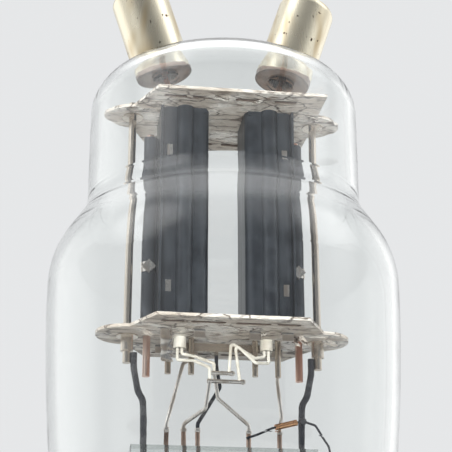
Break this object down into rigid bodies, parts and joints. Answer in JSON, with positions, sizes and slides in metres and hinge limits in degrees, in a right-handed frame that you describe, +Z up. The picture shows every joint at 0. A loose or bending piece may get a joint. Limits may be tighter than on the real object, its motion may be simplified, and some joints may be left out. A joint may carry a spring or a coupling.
{
  "type": "twin triode tube",
  "caption": "Twin triode vacuum tube: shouldered clear glass bulb, anode caps leaning outwards on the dome, dark anodes side by side between mica plates, moulded pin base.",
  "frame": {"origin": "centre of the pin circle in the plane of the pin tips", "axes": "+Z up along the tube axis to the dome, the triodes side by side along X, -Y the front, between the two thick heater pins"},
  "size_m": [0.038, 0.038, 0.1076],
  "materials": {
    "moulded_plastic": "dark brown moulded resin, semi gloss",
    "pin_metal": "nickel plated brass, dull",
    "cap_metal": "plated brass, pale and slightly tarnished",
    "bulb_glass": "clear, smooth",
    "stem_glass": "clear lead glass, pressed",
    "base_cement": "dull tan cement",
    "cap_cement": "dull red brown cement",
    "solder": "dull tin",
    "mica": "cream translucent sheet, satin",
    "anode_carbon": "carbonised nickel, matte dark",
    "copper_rod": "pinkish copper plating, satin",
    "bright_nickel": "bright drawn nickel",
    "dull_nickel": "dull drawn nickel",
    "dark_metal": "oxidised, dark and dull",
    "white_coating": "fine white oxide coating",
    "copper_sleeve": "bright copper",
    "stem_metal": "oxidised wire, brown"
  },
  "bodies": {
    "root": {"base_shell": "moulded_plastic", "base_cement": "base_cement", "base_pin_1": "pin_metal", "base_pin_2": "pin_metal", "base_pin_3": "pin_metal", "base_pin_4": "pin_metal", "base_pin_5": "pin_metal", "base_pin_6": "pin_metal", "base_pin_7": "pin_metal", "glass_bulb": "bulb_glass", "glass_stem": "stem_glass", "exhaust_tube": "stem_glass", "anode_cap_left": "cap_metal", "anode_cap_right": "cap_metal", "cap_cement_left": "cap_cement", "cap_cement_right": "cap_cement", "cap_solder_left": "solder", "cap_solder_right": "solder", "anode_lead_left": "copper_rod", "anode_lead_right": "copper_rod", "mica_upper": "mica", "mica_lower": "mica", "eyelet_upper_left": "dull_nickel", "eyelet_upper_right": "dull_nickel", "eyelet_lower_left": "dull_nickel", "eyelet_lower_right": "dull_nickel", "anode_left": "anode_carbon", "anode_right": "anode_carbon", "anode_rod_left": "copper_rod", "anode_rod_right": "copper_rod", "anode_clips": "bright_nickel", "grid_left": "dull_nickel", "grid_right": "dull_nickel", "cathode_left": "white_coating", "cathode_right": "white_coating", "heater_left": "white_coating", "heater_right": "white_coating", "cathode_strap": "dark_metal", "cathode_lead": "dark_metal", "grid_lead_left": "bright_nickel", "grid_lead_right": "bright_nickel", "heater_bar_upper": "bright_nickel", "heater_bar_lower": "bright_nickel", "heater_lead_upper": "bright_nickel", "heater_lead_lower": "bright_nickel", "support_rod_left": "dull_nickel", "support_rod_right": "dull_nickel", "support_wire_left": "dark_metal", "support_wire_right": "dark_metal", "bond_wire": "dark_metal", "bond_sleeve": "copper_sleeve", "stem_wire_1": "stem_metal", "stem_wire_3": "stem_metal", "stem_wire_4": "stem_metal", "stem_wire_5": "stem_metal", "stem_wire_7": "stem_metal"}
  },
  "joints": []
}
